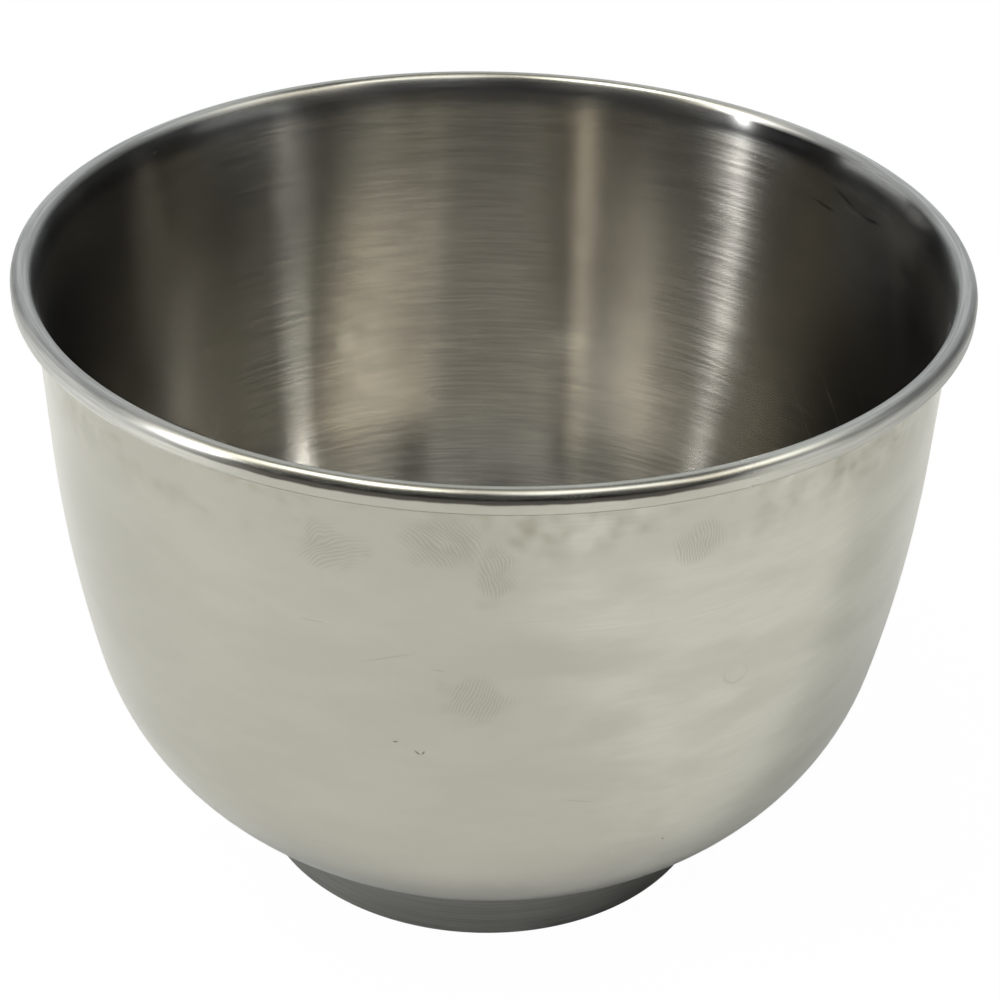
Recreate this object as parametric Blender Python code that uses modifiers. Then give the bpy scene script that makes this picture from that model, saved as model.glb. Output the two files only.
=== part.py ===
"""Small steel mixing bowl for a stand mixer: one drawn sheet with a rolled rim, on a welded foot ring.

The bowl stands on the ground plane with its axis on Z. Run it with blender --background --python part.py,
or from Blender's text editor. Lengths are in metres, angles in degrees.
"""

from math import atan2, cos, degrees, radians, sin, sqrt, tan

import bpy

# Overall size of the bowl
RIM_RADIUS = 0.0835  # to the outermost point of the rolled rim
HEIGHT = 0.120  # from the table to the top of the rim
SHEET = 0.0007  # wall of the drawn bowl

# Drawn wall. Each lean is measured out from the vertical, each radius is that of the outer face
WALL_LEAN = 2.3  # straight upper wall
SIDE_RADIUS = 0.254  # long easy curve below the straight wall
SIDE_END_LEAN = 11.7  # where the long curve hands over to the corner
CORNER_RADIUS = 0.049  # rounded corner between side and floor
FLOOR_HEIGHT = 0.0083  # from the table to the underside of the flat floor

# Rolled rim, sizes of its outer face
BEAD_WIDTH = 0.0034  # across the half round of the top
BEAD_HEIGHT = 0.0043  # from the top of the rim to the underside of the curl
CURL_RADIUS = 0.0013  # where the skirt of the curl turns in under the rim
NECK_LEAN = 35.0  # lean of the sheet where it enters the curl
NECK_RADIUS = 0.006  # easy bend from the wall out into the curl
CURL_MOUTH = 0.0004  # opening left between the raw edge of the curl and the wall

# Foot ring
FOOT_RADIUS = 0.0444  # outer face of the skirt, just above the rounded edge of the lip
FOOT_SHEET = 0.0008
FOOT_TAPER = 1.0  # lean of the skirt, wider at the top
FOOT_EDGE_RADIUS = 0.0010  # outer radius of the bend into the standing lip
FOOT_LIP = 0.0035  # flat part of the lip, turned in at the table
FOOT_FOLD_RADIUS = 0.0012  # outer radius of the fold at the top of the skirt
FOOT_FLANGE = 0.0065  # length of the flange that lies under the bowl
SEAT_GAP = 0.0003  # between the flange and the underside of the bowl

# Fineness of the turned faces, as the largest turn between two points of a profile
TURN_STEPS = 72
BEND_STEP = 24.0
NECK_STEP = 12.0
CORNER_STEP = 6.5
SIDE_STEP = 3.2
FLANGE_STEP = 3.75
MERGE_DISTANCE = 0.00001

# Finishes: colour, metallic, roughness
POLISHED_STEEL = ((0.62, 0.61, 0.56, 1.0), 1.0, 0.18)
SATIN_STEEL = ((0.42, 0.42, 0.40, 1.0), 1.0, 0.38)


def arc(centre, radius, start, end, largest_turn):
    """Points (r, z) on a circle from one angle to another, both included. Angle 0 is +r and 90 is +z."""
    count = max(1, int(abs(end - start) / largest_turn) + 1)
    angles = [radians(start + (end - start) * step / count) for step in range(count + 1)]
    return [(centre[0] + radius * cos(a), centre[1] + radius * sin(a)) for a in angles]


def without_repeats(points):
    """The same points without those that repeat the one before, as where two arcs meet."""
    kept = points[:1]
    for point in points[1:]:
        if max(abs(point[0] - kept[-1][0]), abs(point[1] - kept[-1][1])) > MERGE_DISTANCE:
            kept.append(point)
    return kept


def neck_bottom():
    """Middle of the sheet where the bend out of the curl ends and the straight wall begins."""
    wall, neck = radians(WALL_LEAN), radians(NECK_LEAN)
    roll = (BEAD_WIDTH - SHEET) / 2
    entry_r = RIM_RADIUS - BEAD_WIDTH / 2 - roll * cos(neck)
    entry_z = HEIGHT - BEAD_WIDTH / 2 + roll * sin(neck)
    return entry_r - NECK_RADIUS * (cos(wall) - cos(neck)), entry_z - NECK_RADIUS * (sin(neck) - sin(wall))


def neck_centre():
    """Centre of the easy bend, outside the wall."""
    r, z = neck_bottom()
    return r + NECK_RADIUS * cos(radians(WALL_LEAN)), z - NECK_RADIUS * sin(radians(WALL_LEAN))


def outer_face_at(height):
    """Radius of the sheet's outer face at a height near the rim, on the neck or on the straight wall."""
    neck_r, neck_z = neck_bottom()
    if height <= neck_z:
        return neck_r + SHEET / 2 / cos(radians(WALL_LEAN)) - (neck_z - height) * tan(radians(WALL_LEAN))
    centre_r, centre_z = neck_centre()
    return centre_r - sqrt((NECK_RADIUS - SHEET / 2) ** 2 - (height - centre_z) ** 2)


def side_centre():
    """Centre of the long side curve, which leaves the straight wall and meets the corner without a kink."""
    wall, handover = radians(WALL_LEAN), radians(SIDE_END_LEAN)
    neck_r, neck_z = neck_bottom()
    centre_z = FLOOR_HEIGHT + CORNER_RADIUS + (SIDE_RADIUS - CORNER_RADIUS) * sin(handover)
    middle = SIDE_RADIUS - SHEET / 2
    wall_end_z = centre_z - middle * sin(wall)
    wall_end_r = neck_r - (neck_z - wall_end_z) * tan(wall)
    return wall_end_r - middle * cos(wall), centre_z


def corner_centre():
    """Centre of the corner, on the line from the side's centre to the point where the two arcs meet."""
    r, z = side_centre()
    handover = radians(SIDE_END_LEAN)
    spread = SIDE_RADIUS - CORNER_RADIUS
    return r + spread * cos(handover), z - spread * sin(handover)


def bowl_profile():
    """Middle of the bowl's sheet, from the raw edge of the curl, over the rim and down to the axis."""
    half = SHEET / 2
    curl_centre = (RIM_RADIUS - CURL_RADIUS, HEIGHT - BEAD_HEIGHT + CURL_RADIUS)
    top_centre = (RIM_RADIUS - BEAD_WIDTH / 2, HEIGHT - BEAD_WIDTH / 2)
    edge_z = HEIGHT - BEAD_HEIGHT + half
    points = [(outer_face_at(edge_z + half) + CURL_MOUTH, edge_z)]
    points += arc(curl_centre, CURL_RADIUS - half, -90, 0, BEND_STEP)
    points += arc(top_centre, BEAD_WIDTH / 2 - half, 0, 90, BEND_STEP)
    points += arc(top_centre, BEAD_WIDTH / 2 - half, 90, 180 - NECK_LEAN, BEND_STEP)
    points += arc(neck_centre(), NECK_RADIUS, 180 - NECK_LEAN, 180 - WALL_LEAN, NECK_STEP)
    points += arc(side_centre(), SIDE_RADIUS - half, -WALL_LEAN, -SIDE_END_LEAN, SIDE_STEP)
    points += arc(corner_centre(), CORNER_RADIUS - half, -SIDE_END_LEAN, -90, CORNER_STEP)
    points.append((0.0, FLOOR_HEIGHT + half))
    return without_repeats(points)


def fold_centre(seat, skirt, fold):
    """Centre of the fold, one fold radius from the flange's arc and from the skirt's line, below the bowl."""
    taper = radians(FOOT_TAPER)
    centre_r, centre_z = corner_centre()
    start_r = skirt[0] - fold * cos(taper) - centre_r
    start_z = skirt[1] + fold * sin(taper) - centre_z
    along = start_r * sin(taper) + start_z * cos(taper)
    rise = -along - sqrt(along**2 - start_r**2 - start_z**2 + (seat + fold) ** 2)
    return centre_r + start_r + rise * sin(taper), centre_z + start_z + rise * cos(taper)


def foot_profile():
    """Middle of the foot's sheet, from the flange's inner edge, over the fold and down the skirt to the lip."""
    half = FOOT_SHEET / 2
    taper = radians(FOOT_TAPER)
    bend = FOOT_EDGE_RADIUS - half
    bend_centre = (FOOT_RADIUS - FOOT_EDGE_RADIUS, FOOT_EDGE_RADIUS)
    skirt = (bend_centre[0] + bend * cos(taper), bend_centre[1] - bend * sin(taper))
    seat = CORNER_RADIUS + SEAT_GAP + half
    fold = FOOT_FOLD_RADIUS - half
    centre = corner_centre()
    fold_at = fold_centre(seat, skirt, fold)
    flange_end = degrees(atan2(fold_at[1] - centre[1], fold_at[0] - centre[0]))
    flange_start = flange_end - degrees(FOOT_FLANGE / seat)
    points = arc(centre, seat, flange_start, flange_end, FLANGE_STEP)
    points += arc(fold_at, fold, 180 + flange_end, -FOOT_TAPER, BEND_STEP)
    points += arc(bend_centre, bend, -FOOT_TAPER, -90, BEND_STEP)
    points.append((bend_centre[0] - FOOT_LIP, half))
    return without_repeats(points)


def steel(name, finish):
    """A plain metal material."""
    colour, metallic, roughness = finish
    material = bpy.data.materials.new(name)
    material.use_nodes = True
    material.diffuse_color = colour
    shader = material.node_tree.nodes["Principled BSDF"]
    shader.inputs["Base Color"].default_value = colour
    shader.inputs["Metallic"].default_value = metallic
    shader.inputs["Roughness"].default_value = roughness
    return material


def turned_sheet(name, profile, thickness, material, collection):
    """Turns an open profile about Z and gives it the thickness of its sheet, half to each side."""
    edges = [(i, i + 1) for i in range(len(profile) - 1)]
    mesh = bpy.data.meshes.new(name)
    mesh.from_pydata([(r, 0.0, z) for r, z in profile], edges, [])
    mesh.materials.append(material)
    sheet = bpy.data.objects.new(name, mesh)
    collection.objects.link(sheet)
    turn = sheet.modifiers.new("turn", "SCREW")
    turn.axis = "Z"
    turn.steps = TURN_STEPS
    turn.render_steps = TURN_STEPS
    turn.use_merge_vertices = True
    turn.merge_threshold = MERGE_DISTANCE
    turn.use_smooth_shade = True
    wall = sheet.modifiers.new("sheet", "SOLIDIFY")
    wall.thickness = thickness
    wall.offset = 0.0
    wall.use_even_offset = True
    wall.use_quality_normals = True
    return sheet


def clear_scene():
    """Leaves the scene empty."""
    for thing in list(bpy.data.objects):
        bpy.data.objects.remove(thing, do_unlink=True)


def build_bowl():
    """The bowl and its foot, on one shared axis."""
    clear_scene()
    collection = bpy.data.collections.new("stand_mixer_bowl")
    bpy.context.scene.collection.children.link(collection)
    axis = bpy.data.objects.new("bowl_axis", None)
    collection.objects.link(axis)
    polished = steel("polished_steel", POLISHED_STEEL)
    satin = steel("satin_steel", SATIN_STEEL)
    pieces = [
        turned_sheet("bowl_body", bowl_profile(), SHEET, polished, collection),
        turned_sheet("foot_ring", foot_profile(), FOOT_SHEET, satin, collection),
    ]
    for piece in pieces:
        piece.parent = axis


build_bowl()
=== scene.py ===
# %% [markdown]
# # A steel mixing bowl for a stand mixer
#
# The real object is a deep bowl drawn from one sheet of stainless steel. Its edge is rolled outwards and down into a
# hollow bead, and a pressed ring is spot-welded under it as a foot. Everything is round about one axis, so each piece
# here is a profile, drawn as (radius, height), that is carried round the Z axis. What makes it look like steel is
# the finish: polished outside, brushed round and round inside, and marked by years of washing up.
#
# Lengths are in metres and angles in degrees. The bowl stands on z = 0 with its axis on Z.

from math import atan2, cos, degrees, pi, radians, sin, sqrt, tan

import bpy
import numpy as np
from mathutils import Matrix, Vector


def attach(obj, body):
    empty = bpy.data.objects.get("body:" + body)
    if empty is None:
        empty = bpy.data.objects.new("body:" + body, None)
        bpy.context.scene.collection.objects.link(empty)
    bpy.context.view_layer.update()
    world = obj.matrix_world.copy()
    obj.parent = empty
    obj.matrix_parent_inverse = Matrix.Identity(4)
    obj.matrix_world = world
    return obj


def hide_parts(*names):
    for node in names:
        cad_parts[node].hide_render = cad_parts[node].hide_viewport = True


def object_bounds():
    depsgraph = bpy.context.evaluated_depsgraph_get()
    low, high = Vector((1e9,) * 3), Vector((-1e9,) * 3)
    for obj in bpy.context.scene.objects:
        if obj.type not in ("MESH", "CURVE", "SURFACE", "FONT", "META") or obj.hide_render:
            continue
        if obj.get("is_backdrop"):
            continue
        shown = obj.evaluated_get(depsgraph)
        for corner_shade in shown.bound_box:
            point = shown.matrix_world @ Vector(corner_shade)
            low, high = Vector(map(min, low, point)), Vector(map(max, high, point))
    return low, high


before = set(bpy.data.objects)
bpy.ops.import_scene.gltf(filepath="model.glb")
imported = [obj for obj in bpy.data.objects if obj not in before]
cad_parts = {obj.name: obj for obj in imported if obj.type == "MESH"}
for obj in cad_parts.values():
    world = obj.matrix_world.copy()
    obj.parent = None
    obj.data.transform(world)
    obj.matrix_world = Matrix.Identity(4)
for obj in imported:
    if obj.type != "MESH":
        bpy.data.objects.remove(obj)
cad_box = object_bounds()
print("nodes to dress:", sorted(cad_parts))

# %% [markdown]
# ## Sizes
#
# The first block holds the sizes of the solid model, so that the fine surfaces made here lie exactly where its coarser
# ones do. All of them belong to the outer faces of the sheet, as a caliper would measure them.

# %% Sizes of the bowl and its foot
MM = 1000
RIM_RADIUS = 0.0835
HEIGHT = 0.120
SHEET = 0.0007
WALL_LEAN = 2.3
SIDE_RADIUS = 0.254
SIDE_END_LEAN = 11.7
CORNER_RADIUS = 0.049
FLOOR_HEIGHT = 0.0083
BEAD_WIDTH = 0.0034
BEAD_HEIGHT = 0.0043
CURL_RADIUS = 0.0013
NECK_LEAN = 35.0
NECK_RADIUS = 0.006
CURL_MOUTH = 0.0004
FOOT_RADIUS = 0.0444
FOOT_SHEET = 0.0008
FOOT_TAPER = 1.0
FOOT_EDGE_RADIUS = 0.0010
FOOT_LIP = 0.0035
FOOT_FOLD_RADIUS = 0.0012
FOOT_FLANGE = 0.0065
SEAT_GAP = 0.0003
COLUMNS = 360
print(f"{2 * RIM_RADIUS * MM:.0f} mm across, {HEIGHT * MM:.0f} mm high, turned in {COLUMNS} columns")

# %% [markdown]
# ## Drawing a sheet of metal as a path
#
# Bent sheet is easiest to draw by its middle line: straight runs and round bends, one after the other. Every point
# carries a second vector, `side`, which points square off the sheet to the right of the way of travel. Half the
# thickness along `side` gives one face of the sheet, and half the thickness the other way gives its other face. A
# Solidify modifier would do the same job, but here the two faces get different finishes, so it helps to own both.

# %% Bends, runs and the faces of a sheet
def bend(centre, radius, start, end, count):
    """Part of a circle: centre + radius * (cos a, sin a), for angles a from start to end.

    Each row is (r, z, side r, side z). Anticlockwise, the side points away from the centre, else towards it.
    """
    angle = np.radians(np.linspace(start, end, count + 1))
    away = np.stack([np.cos(angle), np.sin(angle)], axis=1)
    return np.hstack([np.array(centre) + radius * away, np.sign(end - start) * away])


def run(first, last, count):
    """A straight piece: first + t * (last - first). Its side is the way of travel turned right by 90 degrees."""
    first, last = np.array(first, float), np.array(last, float)
    way = (last - first) / np.linalg.norm(last - first)
    points = first + np.linspace(0, 1, count + 1)[:, None] * (last - first)
    return np.hstack([points, np.broadcast_to([way[1], -way[0]], points.shape)])


def joined(*parts):
    """The parts end to end, without the points that repeat the one before."""
    path = np.concatenate(parts)
    apart = np.abs(np.diff(path[:, :2], axis=0)).max(axis=1) > 1e-7
    return path[np.concatenate([[True], apart])]


def along(path):
    """Distance travelled to each point of the path: the running sum of the steps between points."""
    return np.concatenate([[0], np.cumsum(np.linalg.norm(np.diff(path[:, :2], axis=0), axis=1))])


# %% [markdown]
# ## The drawn bowl
#
# The middle line starts at the raw edge hidden under the rim, rolls out and up over the bead, dips through a small
# neck into the straight wall, follows a long easy curve and then the tight corner, and ends on the axis. Two circles
# that touch without a kink share the line through both centres, which is how each centre below is found from the
# one before. The rolled rim is what takes skill in the real bowl: the edge is curled over a bead in a lathe until it
# almost meets the wall again, which leaves a hollow with a narrow slot below.

# %% Middle line of the bowl
half = SHEET / 2
wall, handover, neck = radians(WALL_LEAN), radians(SIDE_END_LEAN), radians(NECK_LEAN)

top_centre = (RIM_RADIUS - BEAD_WIDTH / 2, HEIGHT - BEAD_WIDTH / 2)
curl_centre = (RIM_RADIUS - CURL_RADIUS, HEIGHT - BEAD_HEIGHT + CURL_RADIUS)
neck_reach = NECK_RADIUS - (BEAD_WIDTH / 2 - half)
neck_centre = (top_centre[0] + neck_reach * cos(neck), top_centre[1] - neck_reach * sin(neck))
wall_top = (neck_centre[0] - NECK_RADIUS * cos(wall), neck_centre[1] + NECK_RADIUS * sin(wall))

spread = SIDE_RADIUS - CORNER_RADIUS
side_middle = SIDE_RADIUS - half
side_z = FLOOR_HEIGHT + CORNER_RADIUS + spread * sin(handover)
wall_foot_z = side_z - side_middle * sin(wall)
wall_foot = (wall_top[0] - (wall_top[1] - wall_foot_z) * tan(wall), wall_foot_z)
side_centre = (wall_foot[0] - side_middle * cos(wall), side_z)
corner_centre = (side_centre[0] + spread * cos(handover), side_z - spread * sin(handover))

edge_z = HEIGHT - BEAD_HEIGHT + half
edge_drop = edge_z + half - neck_centre[1]
edge_r = neck_centre[0] - sqrt((NECK_RADIUS - half) ** 2 - edge_drop**2) + CURL_MOUTH
floor_z = FLOOR_HEIGHT + half

bowl_path = joined(
    run((edge_r, edge_z), (curl_centre[0], edge_z), 3),
    bend(curl_centre, CURL_RADIUS - half, -90, 0, 10),
    bend(top_centre, BEAD_WIDTH / 2 - half, 0, 90, 15),
    bend(top_centre, BEAD_WIDTH / 2 - half, 90, 180 - NECK_LEAN, 9),
    bend(neck_centre, NECK_RADIUS, 180 - NECK_LEAN, 180 - WALL_LEAN, 12),
    run(wall_top, wall_foot, 8),
    bend(side_centre, side_middle, -WALL_LEAN, -SIDE_END_LEAN, 14),
    bend(corner_centre, CORNER_RADIUS - half, -SIDE_END_LEAN, -90, 34),
    run((corner_centre[0], floor_z), (0, floor_z), 5),
)
rim_top = along(bowl_path)[np.argmax(bowl_path[:, 1])]
print(f"bowl: {len(bowl_path)} points, {along(bowl_path)[-1] * MM:.1f} mm of sheet from edge to axis")

# %% [markdown]
# ## Turning a profile
#
# A turned surface is the grid (r(s) cos a, r(s) sin a, z(s)), with s along the profile and a round the axis. NumPy
# works out the whole grid at once, and the faces are a matter of counting: each one joins two neighbours along the
# profile with two neighbours round the axis. The last column joins the first, so there is no seam. Where a profile
# ends on the axis its ring shrinks to one point, and a fan of triangles closes the pole.
#
# Two numbers go onto every point for the finishes to read: `travel`, the distance along the sheet in metres, and
# `inside`, which is 1 on the brushed face of the bowl and 0 on all others.

# %% Turn a closed profile into a mesh
def turned(name, loop, travel, inside, on_axis, shape=None):
    """Points (r cos a, r sin a, z) on a grid of profile points by COLUMNS angles, as one closed mesh.

    shape may move the grid: it gets the radii, the angles and the heights as whole arrays and returns new r and z.
    """
    rings = slice(1, -1) if on_axis else slice(None)
    angle = np.arange(COLUMNS) * 2 * pi / COLUMNS
    r, z = (np.repeat(loop[rings, i, None], COLUMNS, axis=1) for i in (0, 1))
    if shape:
        r, z = shape(r, z, angle)
    points = np.stack([r * np.cos(angle), r * np.sin(angle), z], axis=-1).reshape(-1, 3)
    count = len(r)
    row, column = np.meshgrid(np.arange(count - 1 if on_axis else count), np.arange(COLUMNS), indexing="ij")
    beside, below = (column + 1) % COLUMNS, (row + 1) % count
    corners = [row * COLUMNS + column, row * COLUMNS + beside, below * COLUMNS + beside, below * COLUMNS + column]
    faces = np.stack(corners, axis=-1).reshape(-1, 4).tolist()
    if on_axis:
        poles = [[0, 0, loop[0, 1]], [0, 0, loop[-1, 1]]]
        points = np.concatenate([points, poles])
        here, there = np.arange(COLUMNS), (np.arange(COLUMNS) + 1) % COLUMNS
        first, last = np.full(COLUMNS, count * COLUMNS), np.full(COLUMNS, count * COLUMNS + 1)
        end = (count - 1) * COLUMNS
        faces += np.stack([first, there, here], axis=1).tolist()
        faces += np.stack([last, end + here, end + there], axis=1).tolist()
    mesh = bpy.data.meshes.new(name)
    mesh.from_pydata(points.tolist(), [], faces)
    for label, values in (("travel", travel), ("inside", inside)):
        spread_out = np.repeat(values[rings], COLUMNS)
        if on_axis:
            spread_out = np.concatenate([spread_out, values[[0, -1]]])
        mesh.attributes.new(label, "FLOAT", "POINT").data.foreach_set("value", spread_out.astype(np.float32))
    mesh.polygons.foreach_set("use_smooth", np.ones(len(faces), bool))
    mesh.update()
    piece = bpy.data.objects.new(name, mesh)
    bpy.context.scene.collection.objects.link(piece)
    print(f"{name}: {len(points)} points, {sum(len(face) - 2 for face in faces)} triangles")
    return piece


def two_faces(path, thickness):
    """Both faces of a sheet as one loop: down one face from the path's end to its start, and back up the other."""
    near = path[:, :2] + thickness / 2 * path[:, 2:]
    far = path[:, :2] - thickness / 2 * path[:, 2:]
    return np.concatenate([far[::-1], near])


# %% [markdown]
# ## The bowl's own surface
#
# Drawn sheet is never a perfect surface of revolution. The wall carries long, shallow waves a few hundredths of a
# millimetre deep, which the eye only sees because they bend the reflections. They fade out at the rim, the floor and
# the axis, where the metal is held stiff.

# %% Build the bowl
WAVE_DEPTH = 0.00002
WAVES = ((0.5, 3, 30, 0.4), (0.35, 5, -45, 2.1), (0.3, 8, 60, 4.4), (0.2, 13, 35, 1.3))
WAVES_BOTTOM, WAVES_TOP, WAVES_FADE = 0.02, HEIGHT - 0.006, 0.02
BRUSH_START, BRUSH_FADE = 0.0012, 0.0008


def drawn_waves(r, z, angle):
    """Adds shallow waves to the radius: sines of (times * angle + drift * z + start), each of its own size."""
    held = np.clip((WAVES_TOP - z) / WAVES_FADE, 0, 1) * np.clip((z - WAVES_BOTTOM) / WAVES_FADE, 0, 1)
    waves = sum(size * np.sin(times * angle + drift * z + start) for size, times, drift, start in WAVES)
    return r + WAVE_DEPTH * held * waves, z


travel = along(bowl_path)
brushed = np.clip((travel - rim_top - BRUSH_START) / BRUSH_FADE, 0, 1)
bowl_loop = two_faces(bowl_path, SHEET)
bowl_loop[[0, -1], 0] = 0
bowl = turned(
    "bowl_drawn_sheet",
    bowl_loop,
    np.concatenate([travel[::-1], travel]),
    np.concatenate([np.zeros(len(travel)), brushed]),
    True,
    drawn_waves,
)

# %% [markdown]
# ## The foot ring
#
# The foot is a second pressing: a flange that lies under the bowl's corner, a fold, a short skirt and a flat lip to
# stand on. The flange is fixed with spot welds. Each weld leaves a shallow round dent in the hidden face of the
# flange, where the electrode pressed, and they show when the bowl is turned over.

# %% Build the foot ring
WELDS = 12
WELD_RADIUS = 0.0019
WELD_DEPTH = 0.00012
WELD_SHIFT = 0.6

foot_half = FOOT_SHEET / 2
taper = radians(FOOT_TAPER)
edge_bend = FOOT_EDGE_RADIUS - foot_half
edge_centre = (FOOT_RADIUS - FOOT_EDGE_RADIUS, FOOT_EDGE_RADIUS)
skirt_foot = (edge_centre[0] + edge_bend * cos(taper), edge_centre[1] - edge_bend * sin(taper))
seat = CORNER_RADIUS + SEAT_GAP + foot_half
fold = FOOT_FOLD_RADIUS - foot_half
start_r = skirt_foot[0] - fold * cos(taper) - corner_centre[0]
start_z = skirt_foot[1] + fold * sin(taper) - corner_centre[1]
up_skirt = start_r * sin(taper) + start_z * cos(taper)
rise = -up_skirt - sqrt(up_skirt**2 - start_r**2 - start_z**2 + (seat + fold) ** 2)
fold_centre = (corner_centre[0] + start_r + rise * sin(taper), corner_centre[1] + start_z + rise * cos(taper))
flange_end = degrees(atan2(fold_centre[1] - corner_centre[1], fold_centre[0] - corner_centre[0]))
flange_start = flange_end - degrees(FOOT_FLANGE / seat)
skirt_top = (fold_centre[0] + fold * cos(taper), fold_centre[1] - fold * sin(taper))

foot_path = joined(
    bend(corner_centre, seat, flange_start, flange_end, 22),
    bend(fold_centre, fold, 180 + flange_end, -FOOT_TAPER, 12),
    run(skirt_top, skirt_foot, 8),
    bend(edge_centre, edge_bend, -FOOT_TAPER, -90, 10),
    run((edge_centre[0], foot_half), (edge_centre[0] - FOOT_LIP, foot_half), 4),
)
weld_angle = radians((flange_start + flange_end) / 2 - WELD_SHIFT)
weld_r = corner_centre[0] + seat * cos(weld_angle)
weld_z = corner_centre[1] + seat * sin(weld_angle)


def weld_dents(r, z, angle):
    """Lifts the flange's lower face near each weld by depth * (1 - (d / radius)^2)^2, d being the distance to it."""
    round_axis = (np.mod(angle + pi / WELDS, 2 * pi / WELDS) - pi / WELDS) * weld_r
    across = np.hypot(r - weld_r, z - weld_z + foot_half)
    near = np.clip(1 - (round_axis**2 + across**2) / WELD_RADIUS**2, 0, 1) ** 2
    near[: len(foot_path)] = 0
    return r, z + WELD_DEPTH * near


foot_travel = along(foot_path)
foot = turned(
    "foot_pressed_ring",
    two_faces(foot_path, FOOT_SHEET),
    np.concatenate([foot_travel[::-1], foot_travel]),
    np.zeros(2 * len(foot_travel)),
    False,
    weld_dents,
)
for piece, node in ((bowl, "bowl_body"), (foot, "foot_ring")):
    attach(piece, "root")
    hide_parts(node)

# %% [markdown]
# ## Writing shaders as sums
#
# A finish is a recipe of small calculations. Blender draws them as nodes, but they read better as arithmetic, so a
# `Wire` wraps one socket, and adding or multiplying wires adds the Math nodes that do it. A `Recipe` owns the node
# tree, and its one method `node` adds any other kind of node.

# %% Wires and recipes
class Wire:
    """One value travelling through a shader."""

    def __init__(self, recipe, socket):
        self.recipe, self.socket = recipe, socket

    def math(self, operation, *values):
        return self.recipe.node("ShaderNodeMath", {"operation": operation}, (self, *values))

    def __add__(self, other):
        return self.math("ADD", other)

    def __mul__(self, other):
        return self.math("MULTIPLY", other)

    def __sub__(self, other):
        return self.math("SUBTRACT", other)

    def __truediv__(self, other):
        return self.math("DIVIDE", other)

    def __rsub__(self, other):
        return self.recipe.node("ShaderNodeMath", {"operation": "SUBTRACT"}, (other, self))

    __radd__ = __add__
    __rmul__ = __mul__

    def rise(self, low, high):
        """0 up to low, 1 from high on and a soft step between them, t * t * (3 - 2 t)."""
        inputs = {"Value": self, "From Min": low, "From Max": high}
        return self.recipe.node("ShaderNodeMapRange", {"interpolation_type": "SMOOTHSTEP"}, inputs)


class Recipe:
    """A node tree under construction, with the calculations that most finishes share."""

    def __init__(self, owner):
        owner.use_nodes = True
        self.owner, self.tree = owner, owner.node_tree
        self.tree.nodes.clear()

    def node(self, kind, settings=None, inputs=(), out=0):
        """Adds a node, sets its settings, then fills its sockets with values or wires. Returns one output."""
        made = self.tree.nodes.new(kind)
        for key, value in (settings or {}).items():
            setattr(made, key, value)
        for key, value in inputs.items() if isinstance(inputs, dict) else enumerate(inputs):
            if isinstance(value, Wire):
                self.tree.links.new(value.socket, made.inputs[key])
            else:
                made.inputs[key].default_value = value
        return Wire(self, made.outputs[out])

    def place(self, kind="Object"):
        """Three coordinates of the shaded point, or of the direction looked in."""
        spot = self.node("ShaderNodeTexCoord", out=kind)
        split = self.node("ShaderNodeSeparateXYZ", inputs=(spot,))
        return tuple(Wire(self, split.socket.node.outputs[i]) for i in range(3))

    def carried(self, name):
        """A number that the mesh carries on its points."""
        return self.node("ShaderNodeAttribute", {"attribute_name": name}, out="Fac")

    def noise(self, x, y, z, detail, roughness=0.5):
        """Smooth random values about 0.5, whose features are about one unit long in each coordinate."""
        where = self.node("ShaderNodeCombineXYZ", inputs=(x, y, z))
        inputs = {"Vector": where, "Scale": 1.0, "Detail": detail, "Roughness": roughness}
        return self.node("ShaderNodeTexNoise", {"noise_dimensions": "3D"}, inputs)

    def vector(self, operation, *values, out="Vector"):
        """A sum on whole vectors, such as places and directions."""
        return self.node("ShaderNodeVectorMath", {"operation": operation}, values, out)

    def tint(self, amount, base, other):
        """base where amount is 0, the other colour where it is 1."""
        settings = {"data_type": "RGBA", "clamp_factor": True}
        return self.node("ShaderNodeMix", settings, {0: amount, 6: base, 7: other}, out=2)

    def served(self, wire):
        """Joins the last wire to the output, and returns the finished material or world."""
        kind = "ShaderNodeOutputWorld" if isinstance(self.owner, bpy.types.World) else "ShaderNodeOutputMaterial"
        self.tree.links.new(wire.socket, self.tree.nodes.new(kind).inputs["Surface"])
        print(f"{self.owner.name}: {len(self.tree.nodes)} nodes")
        return self.owner

    def bump(self, height):
        """Turns a height in metres into a bent normal."""
        return self.node("ShaderNodeBump", inputs={"Height": height, "Strength": 1.0, "Distance": 1.0}, out="Normal")

# %% [markdown]
# ## Brushed steel
#
# Steel is all reflection, so its look is decided by how rough it is and which way its scratches run. Both faces were
# finished on a lathe, with the grooves going round the axis. Such grooves spread a highlight across themselves and
# keep it narrow along themselves, which draws every lamp out into an upright streak. The shader has a setting for
# that, Anisotropic, and a quarter turn of its rotation lays the grooves round the axis. The single grooves are added
# on top as noise that is stretched a long way round the axis and hardly at all along the sheet.

# %% Grooves round the axis
def grooves(mix, long, narrow, detail=2.0):
    """Noise over (x / long, y / long, travel / narrow): its features are long round the axis and narrow across."""
    x, y, _ = mix.place()
    return mix.noise(x / long, y / long, mix.carried("travel") / narrow, detail, 0.6)


def metal(mix, colour, roughness, anisotropic, normal=None):
    """The steel shader. Its fixed numbers sit on its own sockets."""
    inputs = {
        "Base Color": colour,
        "Metallic": 1.0,
        "Roughness": roughness,
        "Anisotropic": anisotropic,
        "Anisotropic Rotation": 0.25,
    }
    if normal is not None:
        inputs["Normal"] = normal
    return mix.node("ShaderNodeBsdfPrincipled", inputs=inputs)


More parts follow.
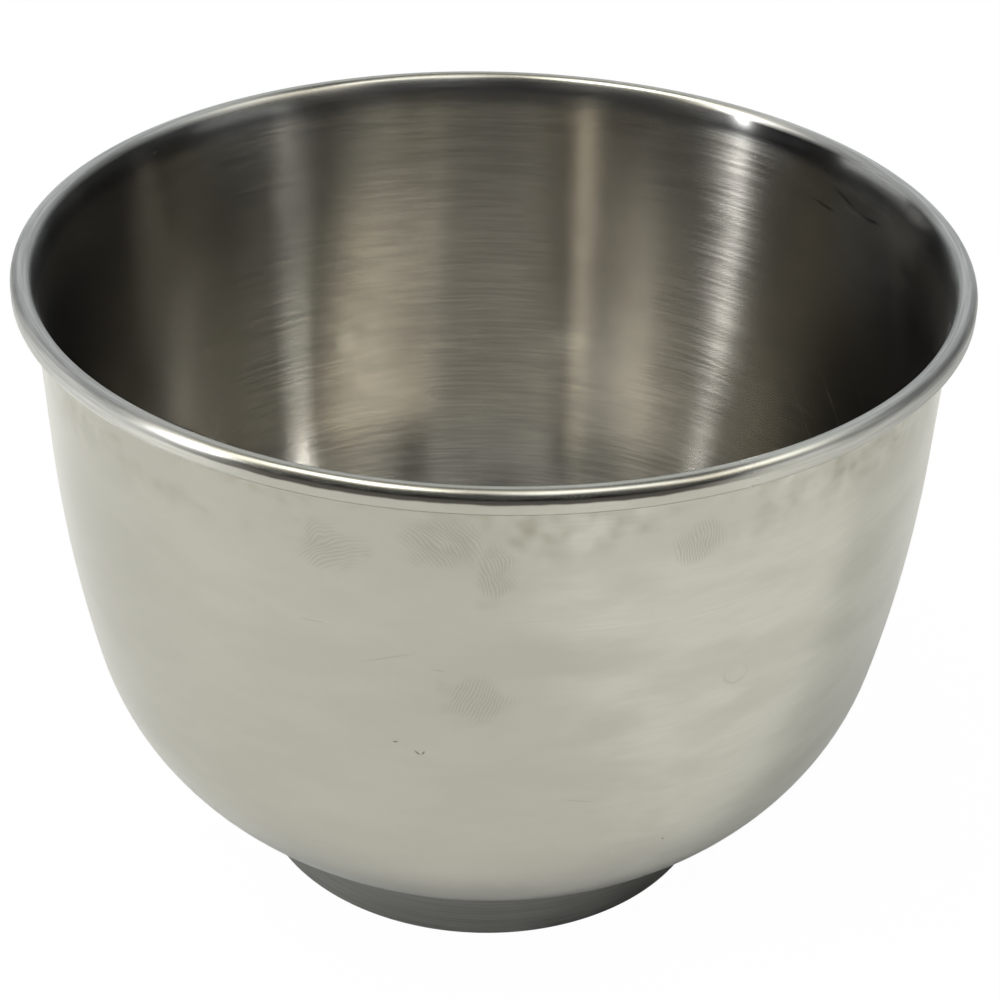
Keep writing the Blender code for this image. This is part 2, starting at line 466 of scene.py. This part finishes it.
# %% [markdown]
# ## Marks on the wall
#
# A bowl that has been used for years carries fingerprints, water rings, hairline scratches and brownish film under
# the rim. To place such marks, the wall is thought of as cut open at the back and laid flat: `u` is the distance
# round from the front and `z` the height, both in metres. Each mark is a small formula in them that gives 1 on the
# mark and 0 off it, and the finishes use it to shift the steel's colour and roughness a little. Noise is costly to
# work out, so one noise field wavers all the edges.

# %% Formulas for the marks
WALL_RADIUS = 0.08
RIDGE = 0.00054


def unrolled(mix):
    """The vector (u, z, 0), where u is radius * atan2(x, -y)."""
    x, y, z = mix.place()
    return mix.node("ShaderNodeCombineXYZ", inputs=(x.math("ARCTAN2", -1 * y) * WALL_RADIUS, z, 0.0))


def spot(at, turn, height, wide, tall):
    """Distance from a place on the wall in units of its half width and half height, so that 1 is its edge."""
    centre = radians(turn) * WALL_RADIUS
    scaled = at.recipe.vector("MULTIPLY_ADD", at, (1 / wide, 1 / tall, 0), (-centre / wide, -height / tall, 0))
    return at.recipe.vector("LENGTH", scaled, out="Value")


def smudge(at, waver, *where):
    """A soft oval with a wavering edge."""
    return 1 - (spot(at, *where) + waver * 1.6).rise(0.45, 1.1)


def ridges(at, waver, turn, height):
    """Curved ridges, sin(2 pi * distance / ridge), round a place that lies off the print, so that they show as arcs."""
    away = spot(at, turn, height, RIDGE / (2 * pi), RIDGE * 1.3 / (2 * pi))
    return (away + waver * 26).math("SINE") * 0.5 + 0.5


def water_ring(at, waver, *where):
    """The thin rim of a dried drop: the places whose distance is nearly 1, with a wavering edge."""
    return 1 - (spot(at, *where) + waver - 1).math("ABSOLUTE").rise(0.03, 0.22)


def scratch(at, turn, height, slope, length, width=0.00028):
    """A straight hairline: a long thin oval, whose two axes are dot products with the line's own directions."""
    lean = atan2(slope, 1)
    along_it = (2 * cos(lean) / length, 2 * sin(lean) / length, 0)
    across = (-2 * sin(lean) / width, 2 * cos(lean) / width, 0)
    middle = (radians(turn) * WALL_RADIUS, height)
    offsets = (-sum(a * b for a, b in zip(axis, middle)) for axis in (along_it, across))
    parts = [at.recipe.vector("DOT_PRODUCT", at, axis, out="Value") for axis in (along_it, across)]
    turned_to = at.recipe.node("ShaderNodeCombineXYZ", inputs=(parts[0], parts[1], 0.0))
    moved = at.recipe.vector("ADD", turned_to, (*offsets, 0))
    return 1 - at.recipe.vector("LENGTH", moved, out="Value").rise(0.4, 1.0)


def either(*masks):
    """The strongest of several marks at each place."""
    strongest = masks[0]
    for mask in masks[1:]:
        strongest = strongest.math("MAXIMUM", mask)
    return strongest


# %% [markdown]
# ## Finish of the outside
#
# The outside was polished, so its own grain is faint and the marks show. They are listed with the angle from the
# front, positive to the right, and the height. Then come the half width and half height of a spot, or the slope and
# length of a scratch. The film under the rim is brown, and wiping has left the steel clouded. The rolled bead is
# scuffed to a satin at the sides, where the bowl is picked up. Along its front a thin dark line is painted on as a
# dark reflection. Painted shade darkens the lower corner, a thin band on the underside and the crevice above the
# foot, and a painted dark reflection greys the left half of the wall.
#
# Each line of the recipe lays one thin coat over the last: `tint` takes how much of it is there, what lies below, and
# its own colour. The distance `u` jumps at the back, from one end of its range to the other, so what depends on it
# fades out or levels off before it gets there. The clouds are made from x, y and z instead, which have no jump.

# %% Finish of the outside
PRINTS = (
    (-18.0, 0.1055, 0.0058, 0.0052),
    (-5.0, 0.1085, 0.0065, 0.0056),
    (0.8, 0.1025, 0.0034, 0.0070),
    (-1.0, 0.0790, 0.0065, 0.0048),
    (24.0, 0.1060, 0.0050, 0.0045),
)
RINGS = ((30.7, 0.0780, 0.0024, 0.0022), (-21.7, 0.0385, 0.0026, 0.0014), (54.7, 0.1110, 0.0016, 0.0020))
SCRATCHES = (
    (-19.8, 0.0907, 0.05, 0.0060),
    (-10.9, 0.0862, 0.35, 0.0120),
    (-5.2, 0.0847, -0.10, 0.0030),
    (54.1, 0.1055, 0.60, 0.0040),
    (12.0, 0.0560, -0.25, 0.0080),
)
CHIPS = (
    (-7.8, 0.0671, -0.90, 0.0017),
    (-7.1, 0.0672, 1.60, 0.0012),
    (-10.4, 0.0690, 0.10, 0.0012),
    (25.0, 0.0417, -1.50, 0.0010),
)
CHIP_WIDTH = 0.0004
RIDGE_CENTRE = (-14.0, 0.0900)
# The height of a thin dark line painted along the front of the bead as a dark reflection.
DARK_LINE_HEIGHT = HEIGHT - 0.0015

# The third colour here is a painted dark reflection.
CLOUDED, CLEAR, LEFT_DARK_REFLECTION = (0.458, 0.45, 0.393, 1), (0.525, 0.518, 0.458, 1), (0.38, 0.372, 0.325, 1)
# The second colour here is painted shade for the lower corner.
GROOVE, CORNER_SHADE = (0.40, 0.40, 0.37, 1), (0.27, 0.30, 0.29, 1)
# The second colour here is painted shade for the crevice above the foot.
FILM, CREVICE_SHADE = (0.29, 0.275, 0.215, 1), (0.12, 0.12, 0.115, 1)
# The last colour serves real chips and a thin dark line painted as a reflection.
PRINT, DRIED, CHIPS_AND_DARK_LINE = (0.27, 0.26, 0.21, 1), (0.25, 0.24, 0.20, 1), (0.05, 0.045, 0.04, 1)
SATIN_DARK, SATIN_LIGHT = (0.44, 0.44, 0.42, 1), (0.62, 0.62, 0.60, 1)


def outside_finish(mix):
    """Polished steel with its marks, painted shade and painted dark reflections, as one shader."""
    x, y, z = mix.place()
    at = unrolled(mix)
    u = mix.node("ShaderNodeSeparateXYZ", inputs=(at,), out="X")
    fine = grooves(mix, 0.015, 0.0003)
    cloud = mix.noise(x / 0.024, y / 0.024, z / 0.008, 3.0, 0.6)
    waver = mix.noise(x / 0.004, y / 0.004, z / 0.004, 1.0) - 0.5

    # Where the steel itself differs: bead and wall and the scuffed sides of the bead. Then painted shade and a painted
    # dark reflection, which grey the left and the bottom
    bead = z.rise(HEIGHT - 0.0048, HEIGHT - 0.0038)
    scuffed = bead * x.math("ABSOLUTE").rise(0.030, 0.070)
    wiped = (cloud + fine * 0.25 - 0.12).rise(0.35, 0.65)
    left = u.rise(-0.22, -0.13)
    # Painted dark reflection: the left half of the wall is greyed, with a wavering edge.
    left_dark_reflection = left * (1 - (u + (cloud - 0.5) * 0.02 + (z - 0.105) * 0.35).rise(0.0, 0.018))
    # Painted shade: darker towards the bottom of the wall at both sides, more on the left, and in a thin band on the
    # underside.
    left_corner_shade, right_corner_shade = (-1 * u).rise(0.005, 0.04) * (left * 0.45 + 0.4), u.rise(0.01, 0.05) * 0.4
    corner_shade = (1 - z.rise(0.014, 0.040)) * either(left_corner_shade, right_corner_shade)
    corner_shade = either(corner_shade, (1 - z.rise(0.0155, 0.0215)) * 0.5)

    # What lies on the steel, with a painted dark reflection line on the bead and painted shade in the crevice above the
    # foot
    film = z.rise(0.0990, 0.1110) * (1 - bead) * cloud.rise(0.36, 0.62) * (0.4 + waver * 2)
    prints = either(*(smudge(at, waver, *one) for one in PRINTS))
    lined = prints * ridges(at, waver, *RIDGE_CENTRE) * cloud.rise(0.2, 0.45)
    rings = either(*(water_ring(at, waver, *one) for one in RINGS)) * cloud.rise(0.35, 0.6)
    lines = either(*(scratch(at, *one) for one in SCRATCHES))
    chips = either(*(scratch(at, *one, CHIP_WIDTH) for one in CHIPS))
    front = u.rise(-0.105, -0.06) * (1 - u.rise(0.025, 0.05))
    # Painted dark reflection: a thin dark line along the front of the bead.
    dark_line = (1 - (z - DARK_LINE_HEIGHT + waver * 0.0004).math("ABSOLUTE").rise(0.0003, 0.0007)) * front
    # Painted shade: the crevice above the foot is darkened.
    crevice_shade = 1 - z.rise(0.0170, 0.0190)

    colour = mix.tint(wiped, CLOUDED, CLEAR)
    # Painted dark reflection greys the left half of the wall.
    colour = mix.tint(left_dark_reflection * 0.62, colour, LEFT_DARK_REFLECTION)
    colour = mix.tint(fine.rise(0.3, 0.7) * 0.32, colour, GROOVE)
    # Painted shade on the lower corner and the underside band.
    colour = mix.tint(corner_shade, colour, CORNER_SHADE)
    colour = mix.tint(film * 0.8, colour, FILM)
    # Painted shade in the crevice above the foot.
    colour = mix.tint(crevice_shade * 0.75, colour, CREVICE_SHADE)
    colour = mix.tint(either(prints * 0.05, lined * 0.4), colour, PRINT)
    colour = mix.tint(either(rings * 0.4, lines * 0.4), colour, DRIED)
    # Real chips, and the painted dark reflection line on the bead.
    colour = mix.tint(either(chips * 0.75, dark_line * 0.93), colour, CHIPS_AND_DARK_LINE)
    colour = mix.tint(scuffed, colour, mix.tint(fine.rise(0.3, 0.7), SATIN_DARK, SATIN_LIGHT))
    roughness = 0.18 + 0.05 * fine + 0.04 * bead + 0.22 * scuffed + 0.04 * prints + 0.04 * film
    return metal(mix, colour, roughness, 0.75)


# %% [markdown]
# ## Finish of the inside
#
# The inside is brushed, and beaters and spoons have rubbed it. The brush lines are short and faint. Where one is
# rougher than the next, it spreads the light further, which frays the edges of the bright streaks. Painted shade
# darkens the steel at the sides and in the neck under the rim, greys the wall towards the top, and dims a spot under
# the rim at the right where the top of a streak would glare. A spoon has left a few long hairlines at the right and a
# dull patch behind the middle.

# %% Finish of the inside
DROPS = (
    (-147.5, 0.0885, 0.0009, 0.0007),
    (-155.6, 0.0639, 0.0030, 0.0035),
    (-131.0, 0.0700, 0.0008, 0.0030),
    (168.0, 0.0620, 0.0050, 0.0040),
)
TICKS = (
    (122.0, 0.1115, 0.25, 0.0080, 0.0008),
    (115.4, 0.1105, -0.15, 0.0060, 0.0008),
    (126.0, 0.1080, 0.10, 0.0090, 0.0006),
)
SPOONED = (
    (118.0, 0.0700, 0.80, 0.0300, 0.0005),
    (124.0, 0.0640, 0.90, 0.0220, 0.0004),
    (112.0, 0.0760, 0.70, 0.0220, 0.0004),
    (-150.0, 0.0720, -2.50, 0.0160, 0.0004),
)

BRUSHED_DARK, BRUSHED_LIGHT = (0.522, 0.501, 0.452, 1), (0.612, 0.588, 0.533, 1)
# The first colour here is painted shade for the upper wall.
UPPER_SHADE, PATCH, RUBBED = (0.44, 0.43, 0.405, 1), (0.38, 0.365, 0.335, 1), (0.30, 0.275, 0.24, 1)
# All three colours here are painted shade.
SIDE_SHADE, NECK_SHADE, GLARE_SHADE = (0.16, 0.165, 0.172, 1), (0.16, 0.165, 0.165, 1), (0.03, 0.03, 0.03, 1)
TICK, PALE = (0.05, 0.05, 0.045, 1), (0.85, 0.83, 0.77, 1)


def inside_finish(mix):
    """Brushed steel with its marks and painted shade, as one shader."""
    x, _, z = mix.place()
    at = unrolled(mix)
    lines = grooves(mix, 0.014, 0.00035, 1.0)
    patches = grooves(mix, 0.012, 0.006, 1.0)
    drops = either(*(1 - spot(at, *one).rise(0.2, 1.2) for one in DROPS))
    ticks = either(*(scratch(at, *one) for one in TICKS))
    spooned = either(*(scratch(at, *one) for one in SPOONED))

    aside = x.math("ABSOLUTE")
    # Painted shade: the inside is darkened at the left and right sides.
    low_side_shade = aside.rise(0.052, 0.080) * (1 - z.rise(0.070, 0.098))
    side_shade = either(low_side_shade, aside.rise(0.068, 0.080) * (1 - z.rise(0.100, 0.112)))
    # Painted shade: the neck under the rim is darkened. The same mask also roughens it.
    neck = z.rise(0.1125, 0.1160)
    # Painted shade: a dark patch under the rim at the right dims the top of the streak.
    glare_shade = z.rise(0.1145, 0.1165) * x.rise(0.038, 0.046) * (1 - x.rise(0.056, 0.064))
    rubbed = z.rise(0.058, 0.082) * x.rise(0.004, 0.015) * (1 - x.rise(0.026, 0.034))
    streaked = lines.rise(0.32, 0.68) * (z.rise(0.015, 0.055) * 0.7 + 0.3)

    colour = mix.tint(streaked, BRUSHED_DARK, BRUSHED_LIGHT)
    # Painted shade: the inner wall is greyed towards the top.
    colour = mix.tint(z.rise(0.06, 0.11) * 0.35, colour, UPPER_SHADE)
    colour = mix.tint(patches.rise(0.4, 0.7) * 0.25, colour, PATCH)
    colour = mix.tint(rubbed * 0.7, colour, RUBBED)
    # Painted shade at the sides of the inside.
    colour = mix.tint(side_shade * 0.88, colour, SIDE_SHADE)
    # Painted shade in the neck under the rim.
    colour = mix.tint(neck * 0.8, colour, NECK_SHADE)
    # Painted shade over the glare at the top of the streak.
    colour = mix.tint(glare_shade * 0.9, colour, GLARE_SHADE)
    colour = mix.tint(ticks * 0.7, colour, TICK)
    colour = mix.tint(either(drops * 0.4, spooned * 0.5), colour, PALE)
    roughness = 0.155 + 0.03 * streaked + 0.07 * patches + 0.04 * neck
    return metal(mix, colour, roughness, 1.0)


def bowl_finish():
    """Both faces of the sheet in one material, told apart by the number that the mesh carries."""
    mix = Recipe(bpy.data.materials.new("bowl_steel"))
    faces = (mix.carried("inside"), outside_finish(mix), inside_finish(mix))
    return mix.served(mix.node("ShaderNodeMixShader", inputs=faces))


bowl.data.materials.append(bowl_finish())

# %% [markdown]
# ## Finish of the foot
#
# The foot was left as it came from the press: duller than the bowl, with a fine grain round the axis. Its colour is
# painted much darker than the bowl's, as painted shade for the shade under the bowl.

# %% Finish of the foot
# Both foot colours are painted shade, far darker than the steel itself.
SHADED_FOOT_DARK, SHADED_FOOT_LIGHT = (0.205, 0.205, 0.193, 1), (0.27, 0.27, 0.255, 1)
GRAIN_DEPTH = 0.000001


def foot_finish():
    """Dull satin steel with a faint grain, painted darker as shade under the bowl."""
    mix = Recipe(bpy.data.materials.new("foot_steel"))
    grain = grooves(mix, 0.02, 0.0003)
    # Grain between two colours that are painted shade.
    colour = mix.tint(grain.rise(0.3, 0.7), SHADED_FOOT_DARK, SHADED_FOOT_LIGHT)
    return mix.served(metal(mix, colour, 0.33 + 0.12 * grain, 0.5, mix.bump(grain * GRAIN_DEPTH)))


foot.data.materials.append(foot_finish())

# %% [markdown]
# ## Floor
#
# The floor is a plain pale sheet. It renders white for the camera, because Light Path tells a camera ray from the
# rays that carry light between things: for the camera, most of the floor's colour glows at a strength of 1, and the
# rest is shaded as usual, which leaves the bowl's soft shadow on it. Reflections and transmission see it white too,
# but fully shaded, so that the steel shows the shadow round its foot.

# %% Build the floor
FLOOR_RADIUS = 2.5
FLOOR_SIDES = 96
FLOOR_PALE, WHITE = (0.8, 0.8, 0.8, 1), (1, 1, 1, 1)
CAMERA_GLOW = 0.985

spokes = np.arange(FLOOR_SIDES) * 2 * pi / FLOOR_SIDES
floor_mesh = bpy.data.meshes.new("floor")
floor_points = np.stack([FLOOR_RADIUS * np.cos(spokes), FLOOR_RADIUS * np.sin(spokes), 0 * spokes], axis=1)
floor_mesh.from_pydata(floor_points.tolist(), [], [list(range(FLOOR_SIDES))])
floor = bpy.data.objects.new("floor", floor_mesh)
bpy.context.scene.collection.objects.link(floor)
floor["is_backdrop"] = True


def floor_finish():
    """A pale matt sheet that cameras and reflections see as white."""
    mix = Recipe(bpy.data.materials.new("floor_sheet"))
    path = mix.node("ShaderNodeLightPath", out="Is Camera Ray")
    ways = path.socket.node.outputs
    camera, glossy, through = path, Wire(mix, ways["Is Glossy Ray"]), Wire(mix, ways["Is Transmission Ray"])
    colour = mix.tint(camera + glossy + through, FLOOR_PALE, WHITE)
    matt = mix.node("ShaderNodeBsdfDiffuse", inputs={"Color": colour})
    glow = mix.node("ShaderNodeEmission", inputs={"Color": WHITE, "Strength": 1.0})
    return mix.served(mix.node("ShaderNodeMixShader", inputs=(camera * CAMERA_GLOW, matt, glow)))


floor_mesh.materials.append(floor_finish())

# %% [markdown]
# ## Light
#
# Polished metal shows its lamps, so they are placed by direction: an azimuth that turns from +X towards +Y, an
# elevation, and the angles that each lamp fills as seen from the bowl. `glow` is the lamp's radiance, and the power
# of a rectangular lamp is pi times its area times that.
#
# Grooves that go round a bowl act as a fan: each upright band of the wall shows only the lamps from one narrow range
# of azimuths. So three narrow strips on the left, one above the other, draw the bright streaks inside, the strongest
# where the wall sends their light straight to the camera, and the fainter ones where it has already crossed the bowl
# once or twice. The broad lamps, weak beside them, each light their own bands of the bowl.

# %% Set up the lamps
def lamp(name, azimuth, elevation, wide, tall, glow, colour, distance=3.0):
    """A rectangular lamp that faces the middle of the bowl: side = 2 * distance * tan(angle / 2)."""
    turn, climb = radians(azimuth), radians(elevation)
    away = np.array([cos(climb) * cos(turn), cos(climb) * sin(turn), sin(climb)])
    across = np.array([-sin(turn), cos(turn), 0])
    data = bpy.data.lights.new(name, "AREA")
    data.shape = "RECTANGLE"
    data.size = 2 * distance * tan(radians(wide) / 2)
    data.size_y = 2 * distance * tan(radians(tall) / 2)
    data.energy = pi * data.size * data.size_y * glow
    data.color = colour
    thing = bpy.data.objects.new(name, data)
    bpy.context.scene.collection.objects.link(thing)
    pose = np.eye(4)
    pose[:3, 0], pose[:3, 1], pose[:3, 2] = across, np.cross(away, across), away
    pose[:3, 3] = away * distance + np.array([0, 0, HEIGHT / 2])
    thing.matrix_world = Matrix(pose.tolist())
    print(f"{name}: {data.size:.2f} by {data.size_y:.2f} m, {data.energy:.1f} W")


lamp("strip_left_high", 199.8, 31, 2.2, 5, 232, (1.0, 1.0, 0.99))
lamp("strip_left_mid", 200.8, 22, 2.2, 6, 172, (1.0, 1.0, 1.0))
lamp("strip_left_low", 201.6, 14, 2.2, 8, 66, (1.0, 1.0, 1.0))
lamp("fill_left", 156, 16, 26, 10, 3.0, (0.98, 1.0, 1.0))
lamp("strip_soft", 205, 22, 8, 14, 3.5, (1.0, 1.0, 1.0))
lamp("key_left", 191, 52, 20, 20, 2.8, (1.0, 0.96, 0.83))
lamp("key_high", 205, 71, 30, 18, 5.0, (1.0, 0.99, 0.92))
lamp("fill_high", 308, 68, 26, 18, 3.0, (1.0, 1.0, 0.98), 1.1)
lamp("top", 270, 88, 24, 18, 1.7, (1.0, 0.95, 0.85))
lamp("fill_right", 342, 50, 36, 20, 1.8, (1.0, 0.95, 0.85), 1.1)
lamp("fill_side", 12, 50, 32, 18, 1.5, (0.96, 1.0, 1.0))
lamp("fill_back", 90, 38, 60, 40, 0.85, (0.96, 1.0, 1.03))

# %% [markdown]
# ## Room
#
# The room is dim on the camera's side and pale behind the bowl, where a white sheet would stand. The dim side is what
# draws the thin black line on the front of the rim. Two brighter cards, low at the sides and turned a little to the
# front, whiten the edges of the wall. The world's own direction gives all of it: y rises towards the back. The camera
# sees plain white.

# %% Light the room
DIM, BACKDROP, CARDS = (0.05, 0.052, 0.055, 1), (1.2, 1.28, 1.3, 1), (1.8, 1.85, 1.9, 1)

world = bpy.data.worlds.new("room")
bpy.context.scene.world = world
room = Recipe(world)
path = room.node("ShaderNodeLightPath", out="Is Camera Ray")
x, y, z = room.place("Generated")
low = 1 - z.rise(0.1, 0.2)
backdrop = y.rise(0.8, 0.93) * low
cards = (x.math("ABSOLUTE") * 0.94 - y * 0.34).rise(0.95, 0.99) * low
shade = room.tint(backdrop, DIM, BACKDROP)
shade = room.tint(cards, shade, CARDS)
seen = room.tint(path, shade, WHITE)
room.served(room.node("ShaderNodeBackground", inputs={"Color": seen, "Strength": 1.0}))

# %% [markdown]
# ## Camera
#
# The camera looks down on the bowl by about 32 degrees from 43 cm away, through a lens a little longer than a
# portrait lens. It is turned by a fraction of a degree and tipped by just over one, as a hand-held camera is. Its
# three axes are worked out as the rows of a rotation matrix and written into the camera's world matrix.

# %% Set up the camera
LOOK_DOWN = radians(31.627)
DISTANCE = 0.4342
AIM_HEIGHT = 0.06756
PAN = radians(0.263)
ROLL = radians(1.354)
LENS = 83.78
SENSOR = 36

forward = np.array([0, cos(LOOK_DOWN), -sin(LOOK_DOWN)])
rightward = np.array([1.0, 0, 0])
downward = np.cross(forward, rightward)
pan = np.array([[cos(PAN), 0, -sin(PAN)], [0, 1, 0], [sin(PAN), 0, cos(PAN)]])
roll = np.array([[cos(ROLL), -sin(ROLL), 0], [sin(ROLL), cos(ROLL), 0], [0, 0, 1]])
axes = roll @ pan @ np.stack([rightward, downward, forward])
pose = np.eye(4)
pose[:3, 0], pose[:3, 1], pose[:3, 2] = axes[0], -axes[1], -axes[2]
pose[:3, 3] = [0, -DISTANCE * cos(LOOK_DOWN), AIM_HEIGHT + DISTANCE * sin(LOOK_DOWN)]

camera_data = bpy.data.cameras.new("camera")
camera_data.sensor_width = SENSOR
camera_data.lens = LENS
camera = bpy.data.objects.new("camera", camera_data)
bpy.context.scene.collection.objects.link(camera)
camera.matrix_world = Matrix(pose.tolist())
bpy.context.scene.camera = camera
bpy.context.scene.view_settings.view_transform = "Standard"
print(f"camera at {np.round(pose[:3, 3], 3)}, {LENS} mm lens")

# %% [markdown]
# ## Sizes and finish
#
# The dressed bowl has to stay the size of the solid one, so both boxes are written out side by side.

# %% Write the sizes and finish
shown_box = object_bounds()
for label, corners in (("solid", cad_box), ("dressed", shown_box)):
    print(label, [round((high - low) * MM, 2) for low, high in zip(*corners)], "mm")
